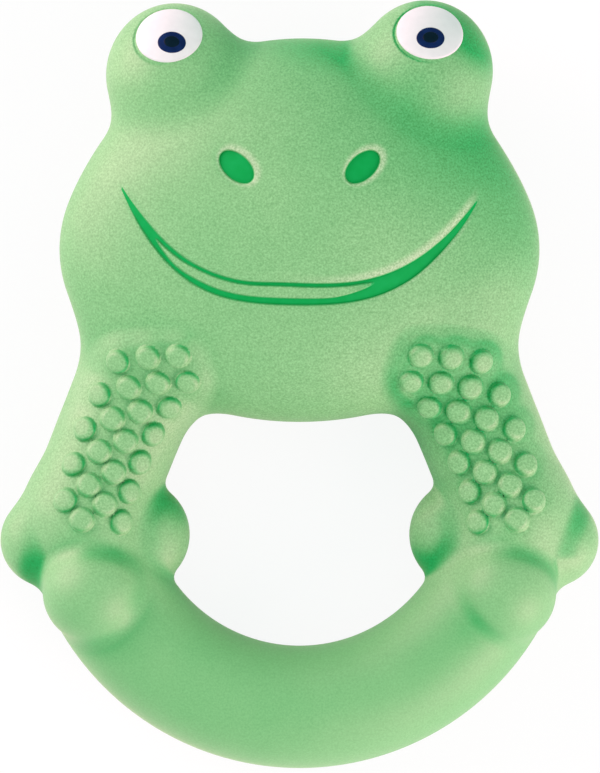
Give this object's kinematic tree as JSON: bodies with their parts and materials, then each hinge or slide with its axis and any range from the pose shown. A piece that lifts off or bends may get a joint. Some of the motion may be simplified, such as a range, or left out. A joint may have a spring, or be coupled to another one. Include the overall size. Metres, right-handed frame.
{
  "type": "teething toy",
  "caption": "Frog-shaped rubber teething toy: a round grip ring joins two hands and nubbed arms to a smiling head, lying on its back.",
  "frame": {"origin": "middle of the toy's footprint, on the surface that it lies on", "axes": "+X to the right of someone facing the frog, +Y from the grip ring to the eyes, +Z out of the face"},
  "size_m": [0.0898, 0.1148, 0.0282],
  "materials": {
    "rubber": "matte natural rubber, fine speckled skin, leaf green",
    "groove_paint": "darker saturated green in the recesses",
    "eye_white": "smooth white paint, slightly glossy",
    "eye_iris": "navy paint",
    "eye_pupil": "near-black paint"
  },
  "bodies": {
    "root": {"head": "rubber", "grip_ring": "rubber", "left_arm": "rubber", "right_arm": "rubber", "left_hand": "rubber", "right_hand": "rubber", "left_outer_finger": "rubber", "left_inner_finger": "rubber", "left_front_finger": "rubber", "right_outer_finger": "rubber", "right_inner_finger": "rubber", "right_front_finger": "rubber", "left_chew_pad": "rubber", "right_chew_pad": "rubber", "left_eye_white": "eye_white", "right_eye_white": "eye_white", "left_iris": "eye_iris", "right_iris": "eye_iris", "left_pupil": "eye_pupil", "right_pupil": "eye_pupil", "mouth_line": "groove_paint", "left_nostril": "groove_paint", "right_nostril": "groove_paint"}
  },
  "joints": []
}
